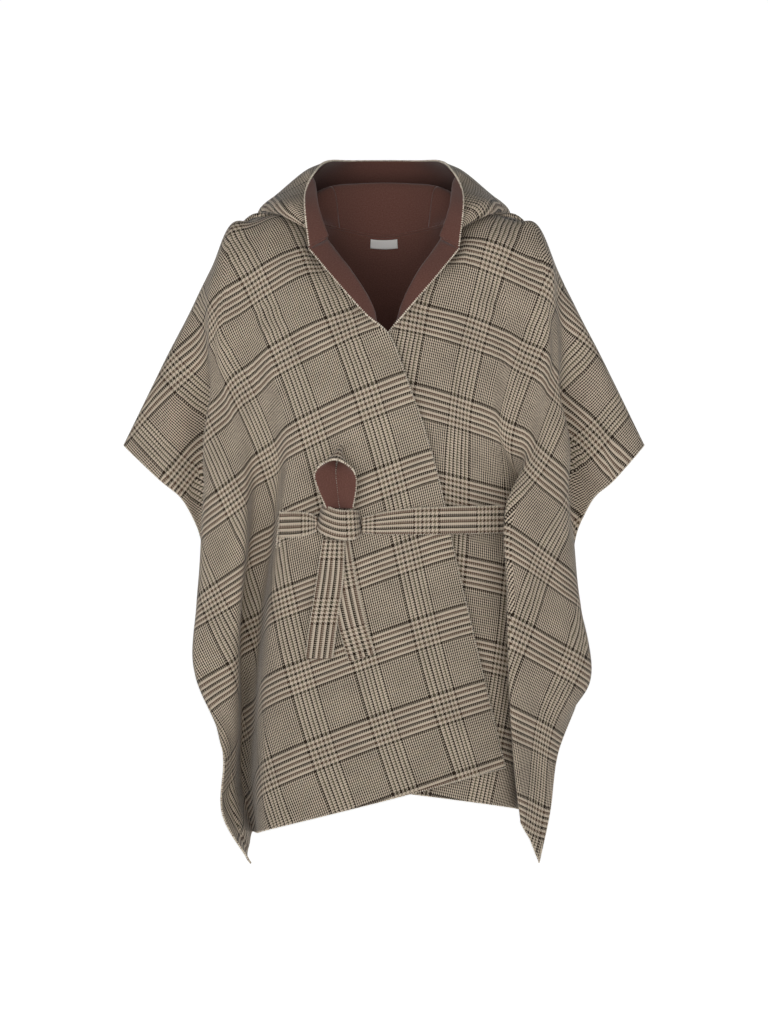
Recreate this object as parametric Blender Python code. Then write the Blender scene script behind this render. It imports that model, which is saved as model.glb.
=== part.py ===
"""Hooded wrap poncho in double-faced wool, worn open at the sides, with a tie belt.

Metres, +Z up, the front faces -Y. The origin is at the height of the wearer's shoulders, between them.
Every cloth piece is a wall built on a grid of middle points. The points come from tables of sections,
written in millimetres, one row for each weft line of the cloth from the shoulder seam down to the hem.
"""

from collections import namedtuple

import bmesh
import bpy
import numpy as np

MM = 0.001
CLOTH_THICKNESS = 2.5
SEAM_GAP = 0.45
LABEL_THICKNESS = 0.8
BELT_THICKNESS = 3.0
BELT_CLEARANCE = 1.5
OVERLAP_STEP = 14.0
NORMAL_SMOOTHING = 1

CHECK_COLOUR = (0.235, 0.205, 0.165, 1.0)
LABEL_COLOUR = (0.80, 0.79, 0.77, 1.0)

# How far the cloth stands in front of the shoulder line on the middle of the body, by height.
Bulge = namedtuple("Bulge", "height depth")
FRONT_BULGES = [
    Bulge(-30, -68),
    Bulge(-130, -106),
    Bulge(-260, -124),
    Bulge(-400, -112),
    Bulge(-443, -110),
    Bulge(-525, -116),
    Bulge(-660, -128),
    Bulge(-800, -138),
    Bulge(-960, -146),
]
BODY_HALF_WIDTH = 200.0
BODY_ROUNDING = 54.0

# A front panel's weft lines. share is the way down from shoulder to hem. The columns run from the front edge
# to the side edge: edge, the roll of the neckline, the lay beside it, the chest, the fold at the belt slit,
# the valley behind it, the crest of the hanging wing, the wing's outer fold and the side hem.
# A column of two numbers (x, z) lies on the body and takes its depth from FRONT_BULGES.
FrontSection = namedtuple("FrontSection", "share edge roll lay chest fold valley crest wing side")
RIGHT_FRONT = [
    FrontSection(0.00, (-112, -84, -40), (-88, -66, -27), (-103, -27, -6), (-117, 0, 6), (-164, 0, 14),
                 (-212, 0, 4), (-258, 0, -66), (-320, 0, -190), (-388, 0, -330)),
    FrontSection(0.07, (-71, -114, -90), (-49, -98, -74), (-81, -80, -73), (-125, -62, -34),
                 (-170, -56, -28), (-220, -48, -41), (-260, -44, -106), (-302, -38, -223), (-340, -36, -378)),
    FrontSection(0.15, (-20, -135, -143), (-15, -119, -134), (-37, -110, -136), (-110, -137), (-180, -146),
                 (-225, -72, -169), (-251, -70, -213), (-265, -60, -264), (-299, -26, -415)),
    FrontSection(0.22, (8, -170), (-16, -173), (-39, -177), (-88, -201), (-165, -219),
                 (-203, -80, -246), (-233, -84, -278), (-271, -70, -327), (-276, 0, -466)),
    FrontSection(0.30, (38, -247), (15, -253), (-9, -258), (-61, -272), (-143, -302),
                 (-180, -86, -327), (-215, -94, -351), (-267, -76, -389), (-267, 14, -530)),
    FrontSection(0.45, (76, -364), (53, -371), (29, -378), (-43, -399), (-148, -426),
                 (-180, -56, -442), (-207, -98, -471), (-272, -80, -543), (-268, 8, -640)),
    FrontSection(0.60, (103, -487), (79, -493), (56, -499), (-32, -523), (-163, -562),
                 (-199, -34, -583), (-215, -96, -603), (-272, -82, -657), (-256, -36, -714)),
    FrontSection(0.75, (131, -607), (108, -613), (84, -620), (-18, -651), (-173, -699),
                 (-203, -16, -729), (-217, -54, -753), (-228, -74, -770), (-237, -92, -796)),
    FrontSection(0.88, (156, -712), (132, -718), (109, -724), (-3, -756), (-175, -812),
                 (-206, 0, -828), (-220, -44, -845), (-231, -66, -861), (-238, -88, -879)),
    FrontSection(1.00, (179, -807), (155, -813), (131, -819), (12, -850), (-175, -899),
                 (-194, 0, -910), (-202, -34, -927), (-204, -58, -941), (-197, -78, -951)),
]
LEFT_FRONT = [
    FrontSection(0.00, (112, -84, -40), (88, -66, -27), (103, -27, -6), (117, 0, 6), (164, 0, 14),
                 (212, 0, 4), (262, 0, -74), (326, 0, -202), (388, 0, -330)),
    FrontSection(0.07, (75, -110, -85), (53, -95, -72), (85, -78, -69), (127, -61, -33), (171, -56, -28),
                 (222, -48, -43), (262, -44, -112), (306, -38, -233), (347, -36, -379)),
    FrontSection(0.15, (29, -117, -140), (24, -104, -133), (46, -97, -131), (115, -130), (182, -143),
                 (225, -72, -171), (253, -70, -215), (271, -60, -270), (311, -26, -413)),
    FrontSection(0.22, (0, -177), (24, -177), (47, -178), (96, -186), (170, -207),
                 (209, -80, -241), (241, -82, -276), (281, -70, -329), (288, 0, -466)),
    FrontSection(0.30, (-9, -244), (15, -244), (38, -244), (78, -248), (158, -278),
                 (195, -86, -310), (226, -94, -341), (277, -76, -391), (281, 14, -530)),
    FrontSection(0.45, (-26, -361), (-3, -362), (21, -363), (75, -371), (180, -398),
                 (214, -42, -410), (180, -124, -424), (281, -82, -544), (286, 8, -640)),
    FrontSection(0.60, (-41, -483), (-18, -484), (6, -485), (71, -491), (182, -511),
                 (219, -36, -525), (181, -128, -549), (293, -82, -659), (290, -40, -700)),
    FrontSection(0.75, (-56, -606), (-32, -608), (-9, -610), (69, -618), (186, -637),
                 (221, -32, -655), (184, -130, -677), (234, -108, -727), (256, -86, -790)),
    FrontSection(0.88, (-68, -724), (-44, -726), (-21, -729), (68, -739), (187, -761),
                 (219, -28, -776), (193, -122, -808), (224, -106, -839), (245, -92, -873)),
    FrontSection(1.00, (-79, -831), (-56, -834), (-32, -836), (67, -848), (189, -867),
                 (215, -26, -875), (203, -106, -883), (215, -106, -913), (229, -96, -948)),
]
# The spacing of the columns along the weft, from the front edge, as lengths of cloth.
FRONT_COLUMN_LENGTHS = (26, 26, 68, 96, 56, 24, 58, 92, 120)
# How many cells the wall has between one column and the next.
FRONT_COLUMN_CELLS = (3, 3, 3, 4, 4, 2, 4, 5, 5)
FRONT_ROWS = 24
VALLEY_ROUNDING = 11.0
# The shoulder seam runs out along the shoulder and down the arm, the same line for the fronts and the back.
ShoulderPlace = namedtuple("ShoulderPlace", "x z")
SHOULDER_LINE = [
    ShoulderPlace(108, 6),
    ShoulderPlace(164, 13),
    ShoulderPlace(196, 10),
    ShoulderPlace(222, -7),
    ShoulderPlace(258, -67),
    ShoulderPlace(320, -191),
    ShoulderPlace(388, -330),
]
# Just beside the shoulder seam the cloth lies level over the shoulder and arm before it falls.
SHOULDER_SHARE = 0.02
SHOULDER_REACH = 16.0
SHOULDER_DROP = 2.0

# The back panel's weft lines, for its left half: from the centre back to the side edge.
BackSection = namedtuple("BackSection", "share centre blade flank pleat_out pleat_in wing side")
BACK = [
    BackSection(0.00, (0, 74, -12), (-66, 54, -2), (-112, 0, 6), (-162, 0, 13), (-212, 0, 4),
                (-306, 0, -161), (-388, 0, -330)),
    BackSection(0.09, (0, 108, -78), (-78, 98, -62), (-140, 66, -34), (-194, 58, -40), (-228, 50, -66),
                (-290, 42, -204), (-338, 34, -352)),
    BackSection(0.20, (0, 128, -166), (-84, 124, -158), (-158, 104, -142), (-212, 94, -158),
                (-240, 72, -190),
                (-270, 66, -290), (-280, 40, -398)),
    BackSection(0.35, (0, 134, -294), (-86, 134, -292), (-162, 124, -290), (-212, 132, -310),
                (-232, 84, -340),
                (-262, 96, -408), (-258, 52, -520)),
    BackSection(0.50, (0, 132, -424), (-84, 136, -424), (-156, 130, -430), (-204, 158, -446),
                (-220, 84, -470),
                (-252, 110, -522), (-250, 62, -620)),
    BackSection(0.65, (0, 136, -552), (-82, 142, -554), (-150, 134, -562), (-194, 174, -574),
                (-208, 84, -594),
                (-240, 122, -634), (-240, 72, -700)),
    BackSection(0.80, (0, 142, -682), (-80, 150, -684), (-144, 138, -692), (-184, 188, -700),
                (-196, 84, -714),
                (-226, 124, -740), (-228, 80, -780)),
    BackSection(1.00, (0, 150, -838), (-76, 160, -840), (-136, 144, -846), (-172, 198, -850),
                (-184, 90, -868),
                (-208, 124, -882), (-211, 86, -892)),
]
BACK_ROWS = 19
BACK_COLUMN_LENGTHS = (84, 72, 62, 74, 84, 110)

# The hood lies back: sections round the neckline, from the front end to the centre back, for its left half.
# Each runs from the neck seam over the near fold, down into the pouch, up its outer wall and to the rim.
HoodSection = namedtuple("HoodSection", "share seam near pouch wall roll rim")
HOOD = [
    HoodSection(0.00, (-112, -85, -36), (-116, -88, -32), (-119, -90, -28), (-121, -92, -24),
                (-119, -94, -16), (-117, -98, -10)),
    HoodSection(0.14, (-101, -48, -13), (-124, -53, 3), (-144, -57, 8), (-136, -60, 24),
                (-100, -66, 22), (-117, -86, 12)),
    HoodSection(0.30, (-109, 0, 10.5), (-142, 2, 24), (-178, 7, 22), (-158, -2, 42), (-104, -24, 60),
                (-117, -50, 47)),
    HoodSection(0.48, (-97, 26, 7), (-126, 42, 32), (-186, 62, 12), (-174, 58, 38), (-112, 14, 83),
                (-103, -3, 80)),
    HoodSection(0.68, (-67, 54, 1), (-78, 72, 62), (-156, 132, -34), (-152, 142, 34), (-97, 98, 95),
                (-84, 92, 104)),
    HoodSection(0.84, (-34, 70, -6.5), (-40, 90, 68), (-82, 166, -92), (-92, 196, 10), (-62, 150, 97),
                (-52, 144, 109)),
    HoodSection(1.00, (0, 76, -10), (0, 96, 70), (0, 176, -112), (0, 214, 0), (0, 170, 98), (0, 162, 111)),
]
HOOD_COLUMN_LENGTHS = (70, 130, 120, 90, 28)
HOOD_COLUMN_CELLS = (4, 6, 5, 4, 3)
HOOD_CENTRE_SHARE = 0.68

# The belt's runs. Each row is a place on the strap's middle line, the direction of its width and the width.
# Where the depth is None the strap lies on the front panel under it, at the run's own distance.
BeltPlace = namedtuple("BeltPlace", "x depth z lean width")
UPRIGHT = (0.0, 0.0, 1.0)
SIDEWAYS = (1.0, 0.0, 0.0)
BELT_RIGHT_RUN = [
    BeltPlace(-32, -136, -450, UPRIGHT, 22),
    BeltPlace(-10, None, -448, UPRIGHT, 30),
    BeltPlace(28, None, -445, UPRIGHT, 37),
    BeltPlace(84, None, -443, UPRIGHT, 40),
    BeltPlace(130, -108, -442, UPRIGHT, 40),
    BeltPlace(178, -84, -441, UPRIGHT, 40),
]
BELT_LEFT_RUN = [
    BeltPlace(-157, None, -450, UPRIGHT, 38),
    BeltPlace(-128, None, -449, UPRIGHT, 37),
    BeltPlace(-108, -124, -448, UPRIGHT, 30),
    BeltPlace(-99, -134, -448, UPRIGHT, 20),
]
BELT_BACK_RUN = [
    BeltPlace(-134, -100.3, -449, UPRIGHT, 40),
    BeltPlace(-166, -34, -448, UPRIGHT, 40),
    BeltPlace(-170, 20, -446, UPRIGHT, 40),
    BeltPlace(-130, 80, -443, UPRIGHT, 40),
    BeltPlace(0, 112, -440, UPRIGHT, 40),
    BeltPlace(130, 80, -442, UPRIGHT, 40),
    BeltPlace(172, 20, -443, UPRIGHT, 40),
    BeltPlace(172, -30, -442, UPRIGHT, 40),
    BeltPlace(150, -80, -441, UPRIGHT, 40),
]
BELT_LOOP = [
    BeltPlace(-54, -140, -425, (-0.45, 0.85, 0.0), 22),
    BeltPlace(-53, -147, -403, (-0.55, 0.83, 0.0), 30),
    BeltPlace(-55, -148, -375, (-0.50, 0.85, 0.15), 34),
    BeltPlace(-58, -147, -353, (-0.20, 0.85, 0.45), 36),
    BeltPlace(-68, -147, -341, (0.30, 0.75, 0.60), 37),
    BeltPlace(-85, -147, -353, (0.50, 0.80, 0.30), 36),
    BeltPlace(-91, -148, -370, (0.60, 0.80, 0.10), 34),
    BeltPlace(-84, -148, -398, (0.60, 0.80, 0.0), 30),
    BeltPlace(-76, -140, -425, (0.45, 0.85, 0.0), 22),
]
BELT_TAIL_LONG = [
    BeltPlace(-74, None, -471, SIDEWAYS, 32),
    BeltPlace(-78, None, -520, SIDEWAYS, 38),
    BeltPlace(-88, None, -590, SIDEWAYS, 40),
    BeltPlace(-95, None, -645, SIDEWAYS, 40),
]
BELT_TAIL_SHORT = [
    BeltPlace(-66, None, -470, SIDEWAYS, 30),
    BeltPlace(-60, None, -530, (1.0, 0.0, 0.25), 38),
    BeltPlace(-48, None, -590, (1.0, 0.0, 0.30), 40),
    BeltPlace(-32, None, -644, (1.0, 0.0, 0.30), 40),
]
TAIL_STEP = 6.0
TAIL_REST = 0.9
KNOT_CENTRE = (-66.0, -137.3, -448.0)
KNOT_HALF_SIZE = (32.0, 14.0, 23.0)


def smooth_curve(points, knots, values):
    """Points on a smooth curve that passes through the given points at the given knots."""
    points = np.asarray(points, float)
    knots = np.asarray(knots, float)
    slopes = np.gradient(points, knots, axis=0)
    index = np.clip(np.searchsorted(knots, values, side="right") - 1, 0, len(knots) - 2)
    span = knots[index + 1] - knots[index]
    way = (values - knots[index]) / span
    shape = (-1,) + (1,) * (points.ndim - 1)
    way, span = way.reshape(shape), span.reshape(shape)
    return (
        points[index] * (1 + 2 * way) * (1 - way) ** 2
        + slopes[index] * span * way * (1 - way) ** 2
        + points[index + 1] * way**2 * (3 - 2 * way)
        + slopes[index + 1] * span * way**2 * (way - 1)
    )


def column_knots(lengths):
    """The columns' places along the weft, as shares of the whole width."""
    places = np.concatenate([[0.0], np.cumsum(lengths)])
    return places / places[-1]


def front_depth(x, z):
    """Depth of cloth that lies on the front of the body."""
    heights = np.array([b.height for b in FRONT_BULGES][::-1], float)
    depths = np.array([b.depth for b in FRONT_BULGES][::-1], float)
    return np.interp(z, heights, depths) + BODY_ROUNDING * (x / BODY_HALF_WIDTH) ** 2


def front_point(place, step):
    """A table entry as a point: two numbers lie on the body, moved out by step."""
    if len(place) == 3:
        return place
    x, z = place
    return (x, front_depth(x, z) - step, z)


def rows_down(count):
    """Values from the shoulder seam to the hem, with one close beside the seam."""
    return np.concatenate([[0.0], np.linspace(SHOULDER_SHARE, 1.0, count)])


def loft(rows, shares, knots, down, across):
    """A grid of points through table rows, at the given values down and across."""
    rows = np.asarray(rows, float)
    along = np.array([smooth_curve(row, knots, across) for row in rows])
    return smooth_curve(along, shares, down)


def front_row(section, step):
    """One weft line's points, with the valley opened out into a round turn between fold and crest."""
    points = [np.array(front_point(p, step), float) for p in section[1:]]
    names = section._fields[1:]
    fold, valley, crest = (points[names.index(n)] for n in ("fold", "valley", "crest"))
    turn = (crest - fold) * (1, 1, 0)
    turn *= VALLEY_ROUNDING / np.linalg.norm(turn)
    at = names.index("valley")
    return points[:at] + [valley - turn, valley + turn] + points[at + 1 :]


def with_shoulder_row(rows, shares, first_column, way):
    """The rows with one more beside the shoulder seam, level from first_column on.

    way is -1 for a front and 1 for the back.
    """
    top, below = np.array(rows[0]), np.array(rows[1])
    beside = top + (below - top) * SHOULDER_SHARE / shares[1]
    beside[first_column:] = top[first_column:] + (0.0, way * SHOULDER_REACH, -SHOULDER_DROP)
    return [top, beside] + list(rows[1:]), [shares[0], SHOULDER_SHARE] + list(shares[1:])


def seat_on_shoulder(grid, way):
    """Puts the top row's outer part on the shoulder line, half a seam gap from the other panel."""
    top = grid[0]
    top[:, 1] = way * (np.maximum(way * top[:, 1], 0.0) + SEAM_GAP)
    on_line = np.abs(top[:, 0]) > SHOULDER_LINE[0].x
    on_line &= np.abs(top[:, 1]) < 2 * SEAM_GAP
    heights = np.interp(np.abs(top[:, 0]), [p.x for p in SHOULDER_LINE], [p.z for p in SHOULDER_LINE])
    top[on_line, 2] = heights[on_line]


def front_grid(sections, step, down, across):
    rows = [front_row(s, step) for s in sections]
    chest = FrontSection._fields.index("chest") - 1
    rows, shares = with_shoulder_row(rows, [s.share for s in sections], chest, -1)
    grid = loft(rows, shares, column_knots(FRONT_COLUMN_LENGTHS), down, across)
    seat_on_shoulder(grid, -1)
    return grid


def spread(knots, cells):
    """Values across the weft with the given number of cells between one knot and the next."""
    steps = [np.linspace(a, b, n, endpoint=False) for a, b, n in zip(knots, knots[1:], cells)]
    return np.concatenate(steps + [[knots[-1]]])


def wall_object(name, grid, thickness, material):
    """A closed cloth wall on a grid of middle points in millimetres."""
    down = np.gradient(grid, axis=0)
    across = np.gradient(grid, axis=1)
    normal = np.cross(down, across)
    for _ in range(NORMAL_SMOOTHING):
        padded = np.pad(normal, ((1, 1), (1, 1), (0, 0)), mode="edge")
        ring = padded[:-2, 1:-1] + padded[2:, 1:-1] + padded[1:-1, :-2] + padded[1:-1, 2:]
        normal = (2 * normal + ring) / 6
    normal /= np.linalg.norm(normal, axis=2, keepdims=True)
    sides = [grid + normal * thickness / 2, grid - normal * thickness / 2]
    mesh = bmesh.new()
    layers = [[[mesh.verts.new(p * MM) for p in row] for row in side] for side in sides]
    rows, columns = grid.shape[:2]
    for layer in layers:
        for i in range(rows - 1):
            for j in range(columns - 1):
                mesh.faces.new((layer[i][j], layer[i][j + 1], layer[i + 1][j + 1], layer[i + 1][j]))
    border = [(0, j) for j in range(columns)] + [(i, columns - 1) for i in range(1, rows)]
    border += [(rows - 1, j) for j in range(columns - 2, -1, -1)] + [(i, 0) for i in range(rows - 2, 0, -1)]
    for (i, j), (k, m) in zip(border, border[1:] + border[:1]):
        mesh.faces.new((layers[0][i][j], layers[0][k][m], layers[1][k][m], layers[1][i][j]))
    return finish_object(name, mesh, material)


def finish_object(name, mesh, material):
    """Turns a bmesh into a named, smooth-shaded object whose faces point out."""
    bmesh.ops.recalc_face_normals(mesh, faces=mesh.faces)
    data = bpy.data.meshes.new(name)
    mesh.to_mesh(data)
    mesh.free()
    data.shade_smooth()
    data.set_sharp_from_angle(angle=np.radians(50))
    data.materials.append(material)
    made = bpy.data.objects.new(name, data)
    bpy.context.scene.collection.objects.link(made)
    return made


def cloth_material(name, colour, roughness):
    material = bpy.data.materials.new(name)
    material.use_nodes = True
    shader = material.node_tree.nodes["Principled BSDF"]
    shader.inputs["Base Color"].default_value = colour
    shader.inputs["Roughness"].default_value = roughness
    shader.inputs["Metallic"].default_value = 0.0
    return material


def panel_depth(panel, x, z):
    """Depth of a panel's middle at a place on the body, where the panel is one layer."""
    body = panel[:, : sum(FRONT_COLUMN_CELLS[:4]) * 2 + 1].reshape(-1, 3)
    away = np.hypot(body[:, 0] - x, body[:, 2] - z)
    nearest = np.argsort(away)[:4]
    weights = 1.0 / (away[nearest] + 0.1)
    return float((body[nearest, 1] * weights).sum() / weights.sum())


def strap_depth(place, lean, panel, distance):
    """A strap's depth: its own, or clear of the panel under its middle and both its edges."""
    if place.depth is not None:
        return place.depth
    reach = [lean * place.width * side for side in (-0.5, 0.0, 0.5)]
    return min(panel_depth(panel, place.x + r[0], place.z + r[2]) for r in reach) - distance


def strap_grid(places, rows_count, across_count, panel, distance):
    """Middle points of a strap: rows of places along it, each spread over the strap's width."""
    leans = np.array([p.lean for p in places], float)
    leans /= np.linalg.norm(leans, axis=1, keepdims=True)
    widths = np.array([p.width for p in places], float)
    depths = [strap_depth(p, lean, panel, distance) for p, lean in zip(places, leans)]
    lines = np.array([(p.x, d, p.z) for p, d in zip(places, depths)], float)
    steps = np.linalg.norm(np.diff(lines, axis=0), axis=1)
    knots = np.concatenate([[0.0], np.cumsum(steps)])
    values = np.linspace(0.0, knots[-1], rows_count)
    line = smooth_curve(lines, knots, values)
    lean = smooth_curve(leans, knots, values)
    width = smooth_curve(widths, knots, values)
    shares = np.linspace(-0.5, 0.5, across_count)
    return line[:, None, :] + lean[:, None, :] * (width[:, None] * shares)[:, :, None]


def make_fronts(material):
    down = rows_down(FRONT_ROWS)
    across = spread(column_knots(FRONT_COLUMN_LENGTHS), FRONT_COLUMN_CELLS)
    for name, sections, step in (("front_right", RIGHT_FRONT, OVERLAP_STEP), ("front_left", LEFT_FRONT, 0.0)):
        wall_object(name, front_grid(sections, step, down, across), CLOTH_THICKNESS, material)


def back_grid(down, across):
    """The whole back panel: its left half's table, mirrored about the centre back."""
    half_knots = column_knots(BACK_COLUMN_LENGTHS)
    rows = [[np.array(p, float) for p in s[1:]] for s in BACK]
    flank = BackSection._fields.index("flank") - 1
    rows, shares = with_shoulder_row(rows, [s.share for s in BACK], flank, 1)
    full = [[p * (-1, 1, 1) for p in row[:0:-1]] + list(row) for row in rows]
    knots = np.concatenate([-half_knots[:0:-1], half_knots])
    grid = loft(full, shares, knots, down, across)
    seat_on_shoulder(grid, 1)
    return grid


def make_back(material):
    grid = back_grid(rows_down(BACK_ROWS), np.linspace(-1.0, 1.0, 41))
    return wall_object("back", grid, CLOTH_THICKNESS, material)


def hood_grid(down, across):
    """The hood from its neck seam (down 0) to its rim (down 1), across from right end to left end."""
    rows = [[np.array(p, float) for p in s[1:]] for s in HOOD]
    full = rows + [[p * (-1, 1, 1) for p in row] for row in rows[-2::-1]]
    shares = [s.share for s in HOOD]
    ring = np.array(shares + [2.0 - s for s in shares[-2::-1]]) - 1.0
    return loft(full, ring, column_knots(HOOD_COLUMN_LENGTHS), across, down)


def make_hood(material):
    down = spread(column_knots(HOOD_COLUMN_LENGTHS), HOOD_COLUMN_CELLS)
    seam = 1.0 - HOOD_CENTRE_SHARE
    half_gap = 0.0012
    sides = np.linspace(-1.0, -seam - half_gap, 12)
    middle = np.linspace(-seam + half_gap, seam - half_gap, 11)
    for name, across in (("hood_right", sides), ("hood_centre", middle), ("hood_left", -sides[::-1])):
        wall_object(name, hood_grid(down, across), CLOTH_THICKNESS, material)


def make_belt(material):
    """The tie belt: two front runs from slit to knot, the run inside the back, the loop, tails and knot."""
    down = np.linspace(0.0, 1.0, 4 * FRONT_ROWS)
    fine = spread(column_knots(FRONT_COLUMN_LENGTHS), [2 * n for n in FRONT_COLUMN_CELLS])
    outer = front_grid(RIGHT_FRONT, OVERLAP_STEP, down, fine)
    on_front = (CLOTH_THICKNESS + BELT_THICKNESS) / 2 + BELT_CLEARANCE
    for name, places, rows, distance in (
        ("belt_right_run", BELT_RIGHT_RUN, 15, on_front),
        ("belt_left_run", BELT_LEFT_RUN, 7, on_front),
        ("belt_back_run", BELT_BACK_RUN, 27, 0.0),
        ("belt_loop", BELT_LOOP, 19, 0.0),
        ("belt_tail_long", BELT_TAIL_LONG, 9, on_front + TAIL_STEP),
        ("belt_tail_short", BELT_TAIL_SHORT, 9, on_front - TAIL_REST),
    ):
        wall_object(name, strap_grid(places, rows, 4, outer, distance), BELT_THICKNESS, material)
    knot = bmesh.new()
    bmesh.ops.create_uvsphere(knot, u_segments=18, v_segments=10, radius=1.0)
    bmesh.ops.scale(knot, verts=knot.verts, vec=[h * MM for h in KNOT_HALF_SIZE])
    bmesh.ops.translate(knot, verts=knot.verts, vec=[c * MM for c in KNOT_CENTRE])
    finish_object("belt_knot", knot, material)


def make_label(material):
    """A small woven label sewn on the inside of the back, under the neck seam."""
    across = np.linspace(-0.045, 0.045, 5)
    down = np.linspace(0.010, 0.030, 3)
    grid = back_grid(down, across)
    inward = np.array((0.0, -1.0, 0.0))
    offset = CLOTH_THICKNESS / 2 + SEAM_GAP + LABEL_THICKNESS / 2
    return wall_object("neck_label", grid + inward * offset * 1.2, LABEL_THICKNESS, material)


def main():
    for old in list(bpy.data.objects):
        bpy.data.objects.remove(old)
    check = cloth_material("checked_wool", CHECK_COLOUR, 0.9)
    label = cloth_material("label_ribbon", LABEL_COLOUR, 0.7)
    make_fronts(check)
    make_back(check)
    make_hood(check)
    make_label(label)
    make_belt(check)


main()
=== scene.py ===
"""A hooded wrap poncho in double-faced checked wool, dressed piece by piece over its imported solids.

Metres in the row frame, +Z up, the front towards -Y. Tables of sections are in millimetres.
"""

from collections import namedtuple

import bmesh
import bpy
import numpy as np
from mathutils import Matrix


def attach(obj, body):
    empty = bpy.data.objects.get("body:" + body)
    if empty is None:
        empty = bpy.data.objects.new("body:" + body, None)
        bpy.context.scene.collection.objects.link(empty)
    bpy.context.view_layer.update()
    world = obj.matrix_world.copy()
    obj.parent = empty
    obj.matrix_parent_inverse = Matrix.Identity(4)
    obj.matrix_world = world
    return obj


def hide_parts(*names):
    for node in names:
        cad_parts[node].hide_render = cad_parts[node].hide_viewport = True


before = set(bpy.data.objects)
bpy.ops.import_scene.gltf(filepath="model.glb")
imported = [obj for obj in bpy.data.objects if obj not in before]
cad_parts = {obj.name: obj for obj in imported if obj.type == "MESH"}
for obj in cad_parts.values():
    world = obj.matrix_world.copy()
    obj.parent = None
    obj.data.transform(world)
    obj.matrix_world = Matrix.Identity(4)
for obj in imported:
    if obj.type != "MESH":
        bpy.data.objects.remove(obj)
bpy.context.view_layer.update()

# RIGHT FRONT
# The front that lies on top in the wrap: one cut of double-faced wool with its hanging wing, check outside
# and brown inside. It is sewn to the back along shoulder and arm, and its neckline rolls outwards to the V.
MM = 0.001
CLOTH_THICKNESS = 2.5
SEAM_GAP = 0.45
Bulge = namedtuple("Bulge", "height depth")
FRONT_BULGES = [
    Bulge(-30, -68),
    Bulge(-130, -106),
    Bulge(-260, -124),
    Bulge(-400, -112),
    Bulge(-443, -110),
    Bulge(-525, -116),
    Bulge(-660, -128),
    Bulge(-800, -138),
    Bulge(-960, -146),
]
BODY_HALF_WIDTH = 200.0
BODY_ROUNDING = 54.0
WRAP_STEP = 14.0
FrontSection = namedtuple("FrontSection", "share edge roll lay chest fold valley crest wing side")
RIGHT_FRONT = [
    FrontSection(0.00, (-112, -84, -40), (-86, -66, -26), (-103, -27, -6), (-117, 0, 6), (-164, 0, 14),
                 (-212, 0, 4), (-258, 0, -66), (-320, 0, -190), (-388, 0, -330)),
    FrontSection(0.07, (-71, -114, -90), (-49, -98, -74), (-81, -80, -73), (-125, -62, -34), (-170, -56, -28),
                 (-220, -48, -41), (-260, -44, -106), (-302, -38, -223), (-340, -36, -378)),
    FrontSection(0.15, (-24, -133, -143), (-15, -119, -134), (-37, -110, -136), (-110, -137), (-180, -146),
                 (-225, -72, -169), (-251, -70, -213), (-265, -60, -264), (-299, -26, -415)),
    FrontSection(0.22, (8, -170), (-16, -173), (-39, -177), (-88, -201), (-165, -219),
                 (-203, -80, -246), (-233, -84, -278), (-271, -70, -327), (-276, 0, -466)),
    FrontSection(0.30, (38, -247), (15, -253), (-9, -258), (-61, -272), (-143, -302),
                 (-180, -86, -327), (-215, -94, -351), (-267, -76, -389), (-267, 14, -530)),
    FrontSection(0.45, (76, -364), (53, -371), (29, -378), (-43, -399), (-148, -426),
                 (-180, -56, -442), (-207, -98, -471), (-272, -80, -543), (-268, 8, -640)),
    FrontSection(0.60, (103, -487), (79, -493), (56, -499), (-32, -523), (-163, -562),
                 (-199, -34, -583), (-215, -96, -603), (-272, -82, -657), (-256, -36, -714)),
    FrontSection(0.75, (131, -607), (108, -613), (84, -620), (-18, -651), (-173, -699),
                 (-203, -16, -729), (-217, -54, -753), (-228, -74, -770), (-237, -92, -796)),
    FrontSection(0.88, (156, -712), (132, -718), (109, -724), (-3, -756), (-175, -812),
                 (-206, 0, -828), (-220, -44, -845), (-231, -66, -861), (-238, -88, -879)),
    FrontSection(1.00, (179, -807), (155, -813), (131, -819), (12, -850), (-175, -899),
                 (-194, 0, -910), (-202, -34, -927), (-204, -58, -941), (-197, -78, -951)),
]
FRONT_COLUMN_LENGTHS = (26, 26, 68, 96, 56, 24, 58, 92, 120)
FRONT_COLUMN_CELLS = (8, 8, 12, 18, 16, 8, 14, 20, 22)
FRONT_ROWS = 140
VALLEY_ROUNDING = 11.0
ShoulderPlace = namedtuple("ShoulderPlace", "x z")
SHOULDER_LINE = [
    ShoulderPlace(108, 6),
    ShoulderPlace(164, 13),
    ShoulderPlace(196, 10),
    ShoulderPlace(222, -7),
    ShoulderPlace(258, -67),
    ShoulderPlace(320, -191),
    ShoulderPlace(388, -330),
]
SHOULDER_SHARE = 0.02
SHOULDER_ROWS = 3
SHOULDER_REACH = 16.0
SHOULDER_DROP = 2.0


def smooth_curve(points, knots, values):
    """Points on a smooth curve that passes through the given points at the given knots."""
    points = np.asarray(points, float)
    knots = np.asarray(knots, float)
    slopes = np.gradient(points, knots, axis=0)
    index = np.clip(np.searchsorted(knots, values, side="right") - 1, 0, len(knots) - 2)
    span = knots[index + 1] - knots[index]
    way = (values - knots[index]) / span
    shape = (-1,) + (1,) * (points.ndim - 1)
    way, span = way.reshape(shape), span.reshape(shape)
    return (
        points[index] * (1 + 2 * way) * (1 - way) ** 2
        + slopes[index] * span * way * (1 - way) ** 2
        + points[index + 1] * way**2 * (3 - 2 * way)
        + slopes[index + 1] * span * way**2 * (way - 1)
    )


def column_knots(lengths):
    """The columns' places along the weft, as shares of the whole width."""
    places = np.concatenate([[0.0], np.cumsum(lengths)])
    return places / places[-1]


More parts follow.
